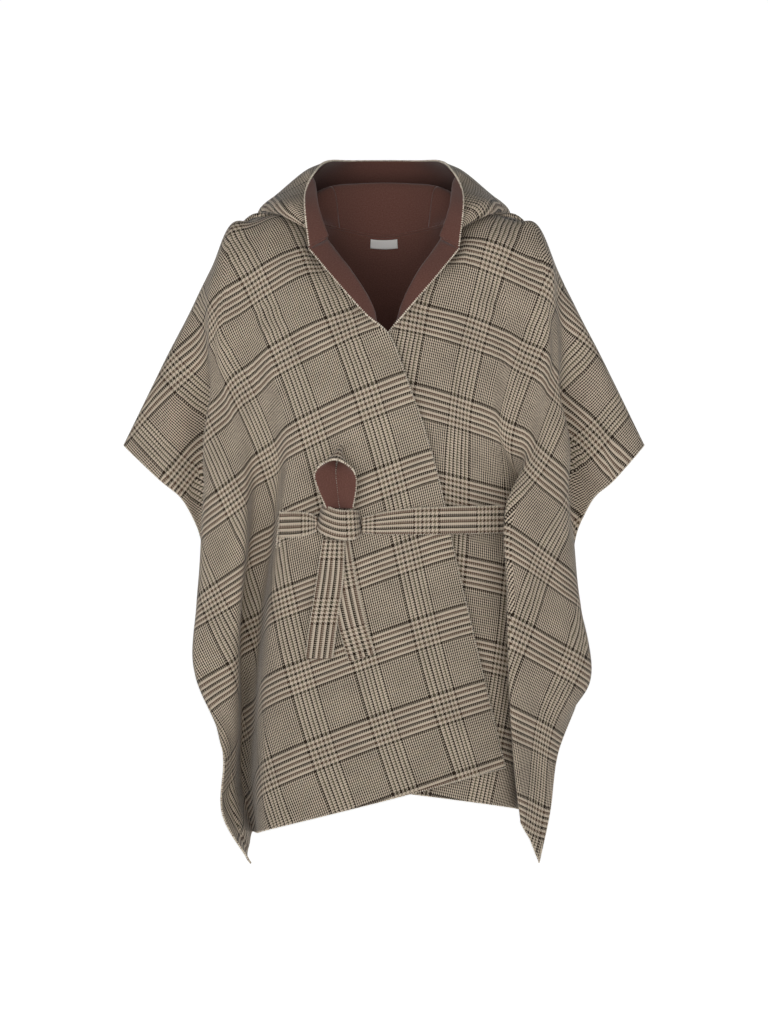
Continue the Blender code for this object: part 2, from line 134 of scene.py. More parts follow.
def spread(knots, cells):
    """Values across the weft with the given number of cells between one knot and the next."""
    steps = [np.linspace(a, b, n, endpoint=False) for a, b, n in zip(knots, knots[1:], cells)]
    return np.concatenate(steps + [[knots[-1]]])


def rows_down(count):
    """Values from the shoulder seam to the hem, with a few close beside the seam."""
    beside_seam = np.linspace(0.0, SHOULDER_SHARE, SHOULDER_ROWS, endpoint=False)
    return np.concatenate([beside_seam, np.linspace(SHOULDER_SHARE, 1.0, count)])


def front_point(place, step):
    """A table entry as a point: two numbers lie on the body, moved out by step."""
    if len(place) == 3:
        return place
    x, z = place
    heights = [b.height for b in FRONT_BULGES][::-1]
    depth = np.interp(z, heights, [b.depth for b in FRONT_BULGES][::-1])
    return (x, depth + BODY_ROUNDING * (x / BODY_HALF_WIDTH) ** 2 - step, z)


def loft(rows, shares, knots, down, across):
    """A grid of points through table rows, at the given values down and across."""
    along = np.array([smooth_curve(row, knots, across) for row in np.asarray(rows, float)])
    return smooth_curve(along, shares, down)


def front_row(section, step):
    """One weft line's points, with the valley opened out into a round turn between fold and crest."""
    points = [np.array(front_point(p, step), float) for p in section[1:]]
    names = section._fields[1:]
    fold, valley, crest = (points[names.index(n)] for n in ("fold", "valley", "crest"))
    turn = (crest - fold) * (1, 1, 0)
    turn *= VALLEY_ROUNDING / np.linalg.norm(turn)
    at = names.index("valley")
    return points[:at] + [valley - turn, valley + turn] + points[at + 1 :]


def with_shoulder_row(rows, shares, first_column, way):
    """The rows with one more beside the shoulder seam, level from first_column on.

    The new row lies on the panel's own side of the seam: way is -1 for a front and 1 for the back.
    """
    top, below = np.array(rows[0]), np.array(rows[1])
    beside = top + (below - top) * SHOULDER_SHARE / shares[1]
    beside[first_column:] = top[first_column:] + (0.0, way * SHOULDER_REACH, -SHOULDER_DROP)
    return [top, beside] + list(rows[1:]), [shares[0], SHOULDER_SHARE] + list(shares[1:])


def seat_on_shoulder(grid, way):
    """Puts the top row's outer part on the shoulder line, a seam gap to the panel's own side of it."""
    top = grid[0]
    top[:, 1] = way * (np.maximum(way * top[:, 1], 0.0) + SEAM_GAP)
    on_line = np.abs(top[:, 0]) > SHOULDER_LINE[0].x
    on_line &= np.abs(top[:, 1]) < 2 * SEAM_GAP
    heights = np.interp(np.abs(top[:, 0]), [p.x for p in SHOULDER_LINE], [p.z for p in SHOULDER_LINE])
    top[on_line, 2] = heights[on_line]


def front_grid(sections, step, down, across):
    """A front's middle points: its table's weft lines, lofted from the shoulder seam to the hem."""
    rows = [front_row(s, step) for s in sections]
    chest = FrontSection._fields.index("chest") - 1
    rows, shares = with_shoulder_row(rows, [s.share for s in sections], chest, -1)
    grid = loft(rows, shares, column_knots(FRONT_COLUMN_LENGTHS), down, across)
    seat_on_shoulder(grid, -1)
    return grid


LAYING_ROUNDS = 1500
DIAGONAL_PULL = 0.5


def flat_cut(grid):
    """The flat cut in millimetres: the grid laid out in a plane with every thread near its own length."""
    links = [((0, 1), 1.0), ((1, 0), 1.0), ((1, 1), DIAGONAL_PULL), ((1, -1), DIAGONAL_PULL)]

    def ends(array, step):
        i, j = step
        rows, columns = array.shape[:2]
        first = array[: rows - i, max(0, -j) : columns - max(0, j)]
        return first, array[i:, max(0, j) : columns + min(0, j)]

    lengths = {s: np.linalg.norm(np.subtract(*ends(grid, s)), axis=2) for s, _ in links}
    third = grid.shape[1] // 3
    u = np.pad(np.cumsum(lengths[0, 1], axis=1), ((0, 0), (1, 0)))
    v = np.concatenate([[0.0], np.cumsum(lengths[1, 0][:, third - 2 : third + 3].mean(axis=1))])
    flat = np.stack([u - u[:, third : third + 1], np.repeat(-v[:, None], grid.shape[1], axis=1)], axis=2)
    share = np.zeros(grid.shape[:2] + (1,))
    for step, weight in links:
        for part in ends(share, step):
            part += weight
    for _ in range(LAYING_ROUNDS):
        move = np.zeros_like(flat)
        for step, weight in links:
            a, b = ends(flat, step)
            gap = b - a
            length = np.linalg.norm(gap, axis=2, keepdims=True) + 1e-9
            pull = gap * (weight * 0.5 * (length - lengths[step][:, :, None]) / length)
            move_a, move_b = ends(move, step)
            move_a += pull
            move_b -= pull
        flat += move / share
    return flat


def finer(coarse, rows, columns):
    """Values on a coarse grid read between its points, at fractional rows and columns."""
    i = np.clip(rows.astype(int), 0, coarse.shape[0] - 2)
    j = np.clip(columns.astype(int), 0, coarse.shape[1] - 2)
    a, b = (rows - i)[:, None, None], (columns - j)[None, :, None]
    near = coarse[i][:, j] * (1 - b) + coarse[i][:, j + 1] * b
    far = coarse[i + 1][:, j] * (1 - b) + coarse[i + 1][:, j + 1] * b
    return near * (1 - a) + far * a


def panel_cut(grid, skip=4):
    """The flat cut of a fine grid, laid out on every few of its threads and read between them."""
    rows = np.unique(np.append(np.arange(0, grid.shape[0], skip), grid.shape[0] - 1))
    columns = np.unique(np.append(np.arange(0, grid.shape[1], skip), grid.shape[1] - 1))
    coarse = flat_cut(grid[rows][:, columns])
    row_places = np.interp(np.arange(grid.shape[0]), rows, np.arange(len(rows)))
    column_places = np.interp(np.arange(grid.shape[1]), columns, np.arange(len(columns)))
    return finer(coarse, row_places, column_places)


def turned(flat, first, last, start):
    """The flat cut turned so that the line from first to last runs straight down from the check's start."""
    along = flat[last] - flat[first]
    along /= np.linalg.norm(along)
    across = np.array((-along[1], along[0]))
    moved = flat - flat[first]
    return np.stack([moved @ across, -(moved @ along)], axis=2) + start


def outward(grid):
    """Unit normals of a grid, out of the garment's outer face."""
    normal = np.cross(np.gradient(grid, axis=1), np.gradient(grid, axis=0))
    return normal / np.linalg.norm(normal, axis=2, keepdims=True)


# A crease runs between two places, each a share across and a share down the panel. Its depth, out of the cloth
# where it is above zero, and its half width are in millimetres.
Crease = namedtuple("Crease", "start end depth width")
CREASE_END = 0.12
RIGHT_CREASES = [
    Crease((0.30, 0.46), (0.22, 0.30), -3.0, 16),
    Crease((0.36, 0.46), (0.33, 0.27), 3.5, 18),
    Crease((0.24, 0.50), (0.15, 0.66), 2.5, 20),
    Crease((0.36, 0.55), (0.34, 0.80), 4.0, 24),
    Crease((0.28, 0.56), (0.25, 0.74), -2.5, 20),
    Crease((0.70, 0.10), (0.78, 0.44), 5.0, 26),
    Crease((0.80, 0.16), (0.86, 0.50), -5.0, 26),
    Crease((0.66, 0.12), (0.62, 0.30), -4.0, 22),
    Crease((0.88, 0.40), (0.84, 0.72), 4.0, 24),
    Crease((0.14, 0.16), (0.30, 0.10), 2.5, 22),
    Crease((0.60, 0.07), (0.79, 0.26), 9.0, 14),
    Crease((0.69, 0.075), (0.90, 0.25), -30.0, 32),
]


def creased(grid, flat, creases, down, across):
    """The grid with soft troughs and ridges raised along its normals, each fading to its ends."""
    rise = np.zeros(grid.shape[:2])
    order = np.argsort(across)
    for crease in creases:
        ends = []
        for a, d in (crease.start, crease.end):
            row = np.interp(d, down, np.arange(len(down)))
            column = np.interp(a, across[order], order)
            ends.append(finer(flat, np.array([row]), np.array([column]))[0, 0])
        start, end = ends
        run = end - start
        way = np.clip(((flat - start) @ run) / (run @ run), 0.0, 1.0)
        fade = CREASE_END + (1.0 - 2.0 * CREASE_END) * way
        away = np.linalg.norm(flat - start - way[:, :, None] * run, axis=2)
        rise += crease.depth * np.exp(-((away / crease.width) ** 2)) * np.sin(np.pi * fade)
    return grid + outward(grid) * rise[:, :, None]


def linear(hex_colour):
    """An sRGB hex colour as linear RGBA."""
    parts = [int(hex_colour[i : i + 2], 16) / 255 for i in (1, 3, 5)]
    return [c / 12.92 if c <= 0.04045 else ((c + 0.055) / 1.055) ** 2.4 for c in parts] + [1.0]


def add_node(tree, kind, settings=(), **links):
    """Adds a node with its settings, and its inputs by name, or as i0, i1 and so on where names repeat.

    A socket is linked, a node is linked by its first output, and any other value is set.
    """
    made = tree.nodes.new(kind)
    for name, value in dict(settings).items():
        setattr(made, name, value)
    for name, value in links.items():
        socket = made.inputs[int(name[1:])] if name[1:].isdigit() else made.inputs[name.replace("_", " ")]
        if isinstance(value, bpy.types.Node):
            value = value.outputs[0]
        if isinstance(value, bpy.types.NodeSocket):
            tree.links.new(value, socket)
        else:
            socket.default_value = value
    return made


def start_material(name):
    """A new material with its node tree and its shader."""
    material = bpy.data.materials.new(name)
    material.use_nodes = True
    return material, material.node_tree, material.node_tree.nodes["Principled BSDF"]


# Double-faced wool, its outer face woven as a glen check in two-and-two twill: bands of four dark and four
# light threads cross a ground of two and two, so the bands show squares where they meet and lines elsewhere.
# The threads' spacing in millimetres gives the check its real size. The real yarn may be finer than this.
WARP_PITCH = 0.77
WEFT_PITCH = 0.97
CHECK_REPEAT = 124
CHECK_BAND = 52
BAND_THREADS = 8
GROUND_THREADS = 4
TINT_THREADS = 16
TWILL_THREADS = 4
TWILL_START = 1.0
# In the bands the threads float over more of their neighbours, so their own colour shows by this much more.
WEFT_FLOAT = 0.45
WARP_FLOAT = 0.15
LIGHT_WOOL = "#c9baa6"
DARK_WOOL = "#291e15"
RUST_WOOL = "#5f493b"
OLIVE_WOOL = "#655d4a"
# Single hairs are too fine to show, so the nap is drawn as clumps of this many millimetres. It moves the
# threads' edges by up to the drift, in metres, and the dye is a little cloudy over some centimetres.
NAP_CLUMP = 2.381
NAP_RISE = 0.0009
THREAD_DRIFT = 0.0006
DYE_CLOUD = 38.46
WOOL_SHINE = 0.2
SHEEN_ROUGHNESS = 0.5


def checked_wool():
    material, tree, shader = start_material("double_faced_checked_wool")

    def first_half(place, threads):
        """1 on the first half of each group of so many threads, and 0 on the rest."""
        in_group = add_node(tree, "ShaderNodeMath", {"operation": "FLOORED_MODULO"}, i0=place, i1=threads)
        return add_node(tree, "ShaderNodeMath", {"operation": "LESS_THAN"}, i0=in_group, i1=threads / 2)

    def dyed_threads(length, pitch, tint_colour):
        """The number of the thread at a length across the threads, whether it is in a band, and its colour."""
        spaced = add_node(tree, "ShaderNodeMath", {"operation": "MULTIPLY"}, i0=length, i1=1000 / pitch)
        number = add_node(tree, "ShaderNodeMath", {"operation": "FLOOR"}, i0=spaced)
        place = add_node(tree, "ShaderNodeMath", {"operation": "FLOORED_MODULO"}, i0=number, i1=CHECK_REPEAT)
        in_band = add_node(tree, "ShaderNodeMath", {"operation": "LESS_THAN"}, i0=place, i1=CHECK_BAND)
        dark = add_node(tree, "ShaderNodeMix", i0=in_band, i2=first_half(place, GROUND_THREADS),
                        i3=first_half(place, BAND_THREADS))
        plain = first_half(place, TINT_THREADS)
        tinted = add_node(tree, "ShaderNodeMath", {"operation": "GREATER_THAN"}, i0=in_band, i1=plain)
        deep = add_node(tree, "ShaderNodeMix", {"data_type": "RGBA"}, i0=tinted, i6=linear(DARK_WOOL),
                        i7=linear(tint_colour))
        colour = add_node(tree, "ShaderNodeMix", {"data_type": "RGBA"}, i0=dark, i6=linear(LIGHT_WOOL),
                          i7=deep.outputs[2])
        return number, in_band, colour.outputs[2]

    cut = add_node(tree, "ShaderNodeUVMap", {"uv_map": "cut"})
    fuzz = add_node(tree, "ShaderNodeTexNoise", Vector=cut, Scale=1000 / NAP_CLUMP, Detail=3.0, Roughness=0.6)
    drift = add_node(tree, "ShaderNodeVectorMath", {"operation": "SCALE"}, i0=fuzz.outputs["Color"],
                     Scale=THREAD_DRIFT)
    place = add_node(tree, "ShaderNodeVectorMath", {"operation": "ADD"}, i0=cut, i1=drift)
    split = add_node(tree, "ShaderNodeSeparateXYZ", i0=place)
    warp, in_warp_band, warp_colour = dyed_threads(split.outputs[0], WARP_PITCH, OLIVE_WOOL)
    weft, in_weft_band, weft_colour = dyed_threads(split.outputs[1], WEFT_PITCH, RUST_WOOL)
    crossing = add_node(tree, "ShaderNodeMath", {"operation": "ADD"}, i0=warp, i1=weft)
    diagonal = add_node(tree, "ShaderNodeMath", {"operation": "ADD"}, i0=crossing, i1=TWILL_START)
    woven = add_node(tree, "ShaderNodeMix", {"data_type": "RGBA"}, i0=first_half(diagonal, TWILL_THREADS),
                     i6=weft_colour, i7=warp_colour)
    for band, other_band, colour, floating in (
        (in_weft_band, in_warp_band, weft_colour, WEFT_FLOAT),
        (in_warp_band, in_weft_band, warp_colour, WARP_FLOAT),
    ):
        halved = add_node(tree, "ShaderNodeMath", {"operation": "MULTIPLY_ADD"}, i0=other_band,
                          i1=-0.5 * floating, i2=floating)
        shown = add_node(tree, "ShaderNodeMath", {"operation": "MULTIPLY"}, i0=band, i1=halved)
        woven = add_node(tree, "ShaderNodeMix", {"data_type": "RGBA"}, i0=shown, i6=woven.outputs[2], i7=colour)
    cloud = add_node(tree, "ShaderNodeTexNoise", Vector=cut, Scale=1000 / DYE_CLOUD, Detail=2.0)
    melange = add_node(tree, "ShaderNodeMapRange", Value=cloud, From_Min=0.3, From_Max=0.7, To_Min=0.90,
                       To_Max=1.08)
    worn = add_node(tree, "ShaderNodeMix", {"data_type": "RGBA", "blend_type": "MULTIPLY"}, i0=1.0,
                    i6=woven.outputs[2], i7=melange)
    rough = add_node(tree, "ShaderNodeMapRange", Value=fuzz, To_Min=0.82, To_Max=0.98)
    nap = add_node(tree, "ShaderNodeBump", Strength=0.35, Distance=NAP_RISE, Height=fuzz)
    tree.links.new(worn.outputs[2], shader.inputs["Base Color"])
    tree.links.new(rough.outputs[0], shader.inputs["Roughness"])
    tree.links.new(nap.outputs[0], shader.inputs["Normal"])
    shader.inputs["Specular IOR Level"].default_value = WOOL_SHINE
    shader.inputs["Sheen Weight"].default_value = 0.18
    shader.inputs["Sheen Roughness"].default_value = SHEEN_ROUGHNESS
    return material


# The inner face: plain brushed wool, brown with a melange of lighter hairs and no weave to be seen. The hairs
# are drawn as clumps too, in millimetres.
INSIDE_WOOL = "#5f3d34"
INSIDE_HAIR = "#78534a"
INSIDE_CLUMP = 1.923
INSIDE_RISE = 0.0008


def brushed_wool():
    material, tree, shader = start_material("brushed_brown_wool")
    cut = add_node(tree, "ShaderNodeUVMap", {"uv_map": "cut"})
    hair = add_node(tree, "ShaderNodeTexNoise", Vector=cut, Scale=1000 / INSIDE_CLUMP, Detail=4.0,
                    Roughness=0.7)
    share = add_node(tree, "ShaderNodeMapRange", Value=hair, From_Min=0.42, From_Max=0.72, To_Max=0.8)
    mixed = add_node(tree, "ShaderNodeMix", {"data_type": "RGBA"}, i0=share, i6=linear(INSIDE_WOOL),
                     i7=linear(INSIDE_HAIR))
    rough = add_node(tree, "ShaderNodeMapRange", Value=hair, To_Min=0.85, To_Max=0.99)
    nap = add_node(tree, "ShaderNodeBump", Strength=0.3, Distance=INSIDE_RISE, Height=hair)
    tree.links.new(mixed.outputs[2], shader.inputs["Base Color"])
    tree.links.new(rough.outputs[0], shader.inputs["Roughness"])
    tree.links.new(nap.outputs[0], shader.inputs["Normal"])
    shader.inputs["Specular IOR Level"].default_value = WOOL_SHINE
    shader.inputs["Sheen Weight"].default_value = 0.25
    shader.inputs["Sheen Roughness"].default_value = SHEEN_ROUGHNESS
    return material


# The cut edges are turned in and closed by hand with cream yarn, so they show light with small dark gaps, a
# stitch's width in millimetres from each other.
EDGE_YARN = "#d8cbb8"
EDGE_SHADE = "#6b5646"
EDGE_GRAIN = 3.846


def stitched_edge():
    material, tree, shader = start_material("hand_closed_edge")
    cut = add_node(tree, "ShaderNodeUVMap", {"uv_map": "cut"})
    grains = add_node(tree, "ShaderNodeTexVoronoi", Vector=cut, Scale=1000 / EDGE_GRAIN).outputs["Distance"]
    share = add_node(tree, "ShaderNodeMapRange", Value=grains, From_Min=0.38, From_Max=0.62)
    mixed = add_node(tree, "ShaderNodeMix", {"data_type": "RGBA"}, i0=share, i6=linear(EDGE_YARN),
                     i7=linear(EDGE_SHADE))
    rough = add_node(tree, "ShaderNodeMapRange", Value=grains, To_Min=0.8, To_Max=0.95)
    tree.links.new(mixed.outputs[2], shader.inputs["Base Color"])
    tree.links.new(rough.outputs[0], shader.inputs["Roughness"])
    shader.inputs["Specular IOR Level"].default_value = WOOL_SHINE
    return material


CHECK = checked_wool()
BROWN = brushed_wool()
EDGE = stitched_edge()


def cut_and_shape(name, grid, flat, thickness, materials, sewn=()):
    """A cloth piece: a flat grid of threads set on the draped form, with its flat cut as its UV map.

    The materials are the outer face, inner face and cut edge. On the sides named in sewn the cut edge is
    inside a seam and takes the inner face's material.
    """
    rows, columns = grid.shape[:2]
    seams = {"top": (0, 0), "first": (1, 0), "last": (1, columns - 1)}
    sewn_lines = [seams[side] for side in sewn]
    cloth = bmesh.new()
    bmesh.ops.create_grid(cloth, x_segments=columns - 1, y_segments=rows - 1, size=1.0)
    places = {}
    for vertex in cloth.verts:
        column = round((vertex.co.x + 1) / 2 * (columns - 1))
        row = round((1 - vertex.co.y) / 2 * (rows - 1))
        places[vertex.index] = row, column
        vertex.co = grid[row, column] * MM
    layer = cloth.loops.layers.uv.new("cut")
    for face in cloth.faces:
        face.smooth = True
        corners = [places[vertex.index] for vertex in face.verts]
        if any(corner[axis] == line for corner in corners for axis, line in sewn_lines):
            face.material_index = len(materials)
        for loop in face.loops:
            loop[layer].uv = flat[places[loop.vert.index]] * MM
    bmesh.ops.reverse_faces(cloth, faces=cloth.faces)
    data = bpy.data.meshes.new(name)
    cloth.to_mesh(data)
    cloth.free()
    outer, inner, edge = materials
    for material in (outer, inner, edge, outer, inner, inner):
        data.materials.append(material)
    piece = bpy.data.objects.new(name, data)
    bpy.context.scene.collection.objects.link(piece)
    wall = piece.modifiers.new("wall", "SOLIDIFY")
    wall.thickness = thickness * MM
    wall.offset = 0.0
    wall.material_offset = 1
    wall.material_offset_rim = 2
    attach(piece, "root")
    return piece


# Hand stitches in soft cream wool yarn lie over the cut edges, close together and a little uneven. The yarn is
# matt and mottled by its loose fibres, which are drawn as clumps. All sizes are in millimetres.
YARN_LIGHT = "#f3eadb"
YARN_SHADE = "#d2c5b0"
STITCH_SPACING = 3.3
StitchSize = namedtuple("StitchSize", "along inward through")
STITCH_SIZE = StitchSize(1.3, 1.45, 1.9)
STITCH_WANDER = 0.4
STITCH_VARIES = StitchSize(0.15, 0.15, 0.045)
STITCH_SINK = 0.35
YARN_CLUMP = 2.857


def wool_yarn():
    material, tree, shader = start_material("cream_wool_yarn")
    place = add_node(tree, "ShaderNodeTexCoord").outputs["Object"]
    fibre = add_node(tree, "ShaderNodeTexNoise", Vector=place, Scale=1000 / YARN_CLUMP, Detail=3.0)
    share = add_node(tree, "ShaderNodeMapRange", Value=fibre, From_Min=0.35, From_Max=0.65)
    mixed = add_node(tree, "ShaderNodeMix", {"data_type": "RGBA"}, i0=share, i6=linear(YARN_SHADE),
                     i7=linear(YARN_LIGHT))
    rough = add_node(tree, "ShaderNodeMapRange", Value=fibre, To_Min=0.85, To_Max=0.98)
    tree.links.new(mixed.outputs[2], shader.inputs["Base Color"])
    tree.links.new(rough.outputs[0], shader.inputs["Roughness"])
    shader.inputs["Specular IOR Level"].default_value = WOOL_SHINE
    return material


YARN = wool_yarn()


def length_along(line):
    """The length along a line of points, at each of them."""
    return np.concatenate([[0.0], np.cumsum(np.linalg.norm(np.diff(line, axis=0), axis=1))])


def stitch_places(edge, inside, uneven):
    """The places of the stitches on one edge, and their directions along, inward and through the cloth."""
    length = length_along(edge)
    at = np.arange(STITCH_SPACING / 2, length[-1], STITCH_SPACING)
    at = at + uneven.uniform(-STITCH_WANDER, STITCH_WANDER, len(at))
    point, inner, along = (
        np.stack([np.interp(at, length, values[:, k]) for k in range(3)], axis=1)
        for values in (edge, inside, np.gradient(edge, axis=0))
    )
    along = along / np.linalg.norm(along, axis=1, keepdims=True)
    inward = inner - point
    inward -= along * (inward * along).sum(axis=1, keepdims=True)
    inward /= np.linalg.norm(inward, axis=1, keepdims=True)
    return point, along, inward, np.cross(along, inward)


def hand_stitches(name, edges, seed):
    """A piece of stitches over the given edges, each with the line one thread inside it."""
    uneven = np.random.default_rng(seed)
    yarn = bmesh.new()
    for edge, inside in edges:
        point, along, inward, through = stitch_places(edge, inside, uneven)
        size = STITCH_SIZE * (1.0 + uneven.uniform(-1.0, 1.0, (len(point), 3)) * STITCH_VARIES)
        for k in range(len(point)):
            seat = np.eye(4)
            seat[:3, :3] = np.array([along[k], inward[k], through[k]]).T * size[k] * MM
            seat[:3, 3] = (point[k] + inward[k] * STITCH_SIZE.inward * STITCH_SINK) * MM
            bmesh.ops.create_icosphere(yarn, subdivisions=1, radius=1.0, matrix=Matrix(seat))
    data = bpy.data.meshes.new(name)
    yarn.to_mesh(data)
    yarn.free()
    data.shade_smooth()
    data.materials.append(YARN)
    stitches = bpy.data.objects.new(name, data)
    bpy.context.scene.collection.objects.link(stitches)
    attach(stitches, "root")
    return stitches


def free_edges(grid):
    """The two sides and the hem of a panel, each with the line of threads inside it."""
    return [(grid[:, 0], grid[:, 1]), (grid[-1], grid[-2]), (grid[:, -1], grid[:, -2])]


# The check runs straight along the wrap's edge, from this row below the V down to the hem.
WRAP_ROW = 40
RIGHT_CHECK_START = (-42.8, 44.8)
front_down = rows_down(FRONT_ROWS)
front_across = spread(column_knots(FRONT_COLUMN_LENGTHS), FRONT_COLUMN_CELLS)
right_grid = front_grid(RIGHT_FRONT, WRAP_STEP, front_down, front_across)
right_cut = turned(panel_cut(right_grid), (WRAP_ROW, 0), (-1, 0), RIGHT_CHECK_START)
right_grid = creased(right_grid, right_cut, RIGHT_CREASES, front_down, front_across)
WOOL = (CHECK, BROWN, EDGE)
front_right = cut_and_shape("right_front_cloth", right_grid, right_cut, CLOTH_THICKNESS, WOOL, ["top"])
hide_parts("front_right")
right_stitches = hand_stitches("right_front_stitches", free_edges(right_grid), seed=11)

# LEFT FRONT
# The front that lies under in the wrap, cut much like the right one and the other way round, of the same
# double-faced wool. It too is sewn to the back along shoulder and arm, and its neckline rolls outwards.
LEFT_FRONT = [
    FrontSection(0.00, (112, -84, -40), (86, -66, -26), (103, -27, -6), (117, 0, 6), (164, 0, 14),
                 (212, 0, 4), (262, 0, -74), (326, 0, -202), (388, 0, -330)),
    FrontSection(0.07, (75, -110, -86), (53, -95, -72), (85, -78, -69), (127, -61, -33), (171, -56, -28),
                 (222, -48, -43), (262, -44, -112), (306, -38, -233), (347, -36, -379)),
    FrontSection(0.15, (29, -117, -140), (24, -104, -133), (46, -97, -131), (115, -130), (182, -143),
                 (225, -72, -171), (253, -70, -215), (271, -60, -270), (311, -26, -413)),
    FrontSection(0.22, (0, -177), (24, -177), (47, -178), (96, -186), (170, -207),
                 (209, -80, -241), (241, -82, -276), (281, -70, -329), (288, 0, -466)),
    FrontSection(0.30, (-9, -244), (15, -244), (38, -244), (78, -248), (158, -278),
                 (195, -86, -310), (226, -94, -341), (277, -76, -391), (281, 14, -530)),
    FrontSection(0.45, (-26, -361), (-3, -362), (21, -363), (75, -371), (180, -398),
                 (214, -42, -410), (180, -124, -424), (281, -82, -544), (286, 8, -640)),
    FrontSection(0.60, (-41, -483), (-18, -484), (6, -485), (71, -491), (182, -511),
                 (219, -36, -525), (181, -128, -549), (293, -82, -659), (290, -40, -700)),
    FrontSection(0.75, (-56, -606), (-32, -608), (-9, -610), (69, -618), (186, -637),
                 (221, -32, -655), (184, -130, -677), (234, -108, -727), (256, -86, -790)),
    FrontSection(0.88, (-68, -724), (-44, -726), (-21, -729), (68, -739), (187, -761),
                 (219, -28, -776), (193, -122, -808), (224, -106, -839), (245, -92, -873)),
    FrontSection(1.00, (-79, -831), (-56, -834), (-32, -836), (67, -848), (189, -867),
                 (215, -26, -875), (203, -106, -883), (215, -106, -913), (229, -96, -948)),
]
LEFT_CREASES = [
    Crease((0.34, 0.42), (0.26, 0.26), -3.0, 18),
    Crease((0.40, 0.40), (0.38, 0.22), 3.5, 20),
    Crease((0.68, 0.10), (0.74, 0.40), 5.0, 26),
    Crease((0.80, 0.16), (0.84, 0.46), -5.0, 26),
    Crease((0.64, 0.14), (0.60, 0.32), -4.0, 22),
    Crease((0.82, 0.46), (0.80, 0.70), 4.0, 24),
    Crease((0.54, 0.07), (0.80, 0.26), 9.0, 14),
    Crease((0.63, 0.075), (0.90, 0.26), -30.0, 32),
]
LEFT_CHECK_START = (-16.4, 52.4)
left_grid = front_grid(LEFT_FRONT, 0.0, front_down, front_across)
left_cut = turned(panel_cut(left_grid), (WRAP_ROW, 0), (-1, 0), LEFT_CHECK_START)[:, ::-1]
left_grid = creased(left_grid[:, ::-1], left_cut, LEFT_CREASES, front_down, front_across[::-1])
front_left = cut_and_shape("left_front_cloth", left_grid, left_cut, CLOTH_THICKNESS, WOOL, ["top"])
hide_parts("front_left")
left_stitches = hand_stitches("left_front_stitches", free_edges(left_grid), seed=12)

# BACK
# One wide cut of the same wool without a centre seam. It hangs from the shoulder seams and falls in a pleat on
# each side, and its brown face shows inside the neck.
BackSection = namedtuple("BackSection", "share centre blade flank pleat_out pleat_in wing side")
BACK = [
    BackSection(0.00, (0, 74, -12), (-66, 54, -2), (-112, 0, 6), (-162, 0, 13), (-212, 0, 4),
                (-306, 0, -161), (-388, 0, -330)),
    BackSection(0.09, (0, 108, -78), (-78, 98, -62), (-140, 66, -34), (-194, 58, -40), (-228, 50, -66),
                (-290, 42, -204), (-338, 34, -352)),
    BackSection(0.20, (0, 128, -166), (-84, 124, -158), (-158, 104, -142), (-212, 94, -158), (-240, 72, -190),
                (-270, 66, -290), (-280, 40, -398)),
    BackSection(0.35, (0, 134, -294), (-86, 134, -292), (-162, 124, -290), (-212, 132, -310), (-232, 84, -340),
                (-262, 96, -408), (-258, 52, -520)),
    BackSection(0.50, (0, 132, -424), (-84, 136, -424), (-156, 130, -430), (-204, 158, -446), (-220, 84, -470),
                (-252, 110, -522), (-250, 62, -620)),
    BackSection(0.65, (0, 136, -552), (-82, 142, -554), (-150, 134, -562), (-194, 174, -574), (-208, 84, -594),
                (-240, 122, -634), (-240, 72, -700)),
    BackSection(0.80, (0, 142, -682), (-80, 150, -684), (-144, 138, -692), (-184, 188, -700), (-196, 84, -714),
                (-226, 124, -740), (-228, 80, -780)),
    BackSection(1.00, (0, 150, -838), (-76, 160, -840), (-136, 144, -846), (-172, 198, -850), (-184, 90, -868),
                (-208, 124, -882), (-211, 86, -892)),
]
BACK_ROWS = 130
BACK_COLUMNS = 161
BLADE_ROW = 20
BACK_COLUMN_LENGTHS = (84, 72, 62, 74, 84, 110)


def back_grid(down, across):
    """The whole back panel: its left half's table, mirrored about the centre back."""
    half_knots = column_knots(BACK_COLUMN_LENGTHS)
    rows = [[np.array(p, float) for p in s[1:]] for s in BACK]
    flank = BackSection._fields.index("flank") - 1
    rows, shares = with_shoulder_row(rows, [s.share for s in BACK], flank, 1)
    full = [[p * (-1, 1, 1) for p in row[:0:-1]] + list(row) for row in rows]
    knots = np.concatenate([-half_knots[:0:-1], half_knots])
    grid = loft(full, shares, knots, down, across)
    seat_on_shoulder(grid, 1)
    return grid


BACK_CREASES = [
    Crease((-0.10, 0.16), (-0.16, 0.90), 4.0, 30),
    Crease((0.14, 0.20), (0.20, 0.86), 4.0, 28),
    Crease((0.02, 0.34), (0.04, 0.95), -3.0, 34),
    Crease((-0.62, 0.10), (-0.70, 0.48), 5.0, 26),
    Crease((0.62, 0.10), (0.70, 0.48), 5.0, 26),
    Crease((-0.80, 0.14), (-0.84, 0.52), -5.0, 26),
    Crease((0.80, 0.14), (0.84, 0.52), -5.0, 26),
]
back_down = rows_down(BACK_ROWS)
back_across = np.linspace(-1.0, 1.0, BACK_COLUMNS)
back_centre = BACK_COLUMNS // 2
back_form = back_grid(back_down, back_across)[:, ::-1]
back_flat = turned(panel_cut(back_form), (BLADE_ROW, back_centre), (-1, back_centre), (0.0, 0.0))
back_form = creased(back_form, back_flat, BACK_CREASES, back_down, back_across[::-1])
back = cut_and_shape("back_cloth", back_form, back_flat, CLOTH_THICKNESS, WOOL, ["top"])
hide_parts("back")
back_stitches = hand_stitches("back_stitches", free_edges(back_form), seed=13)

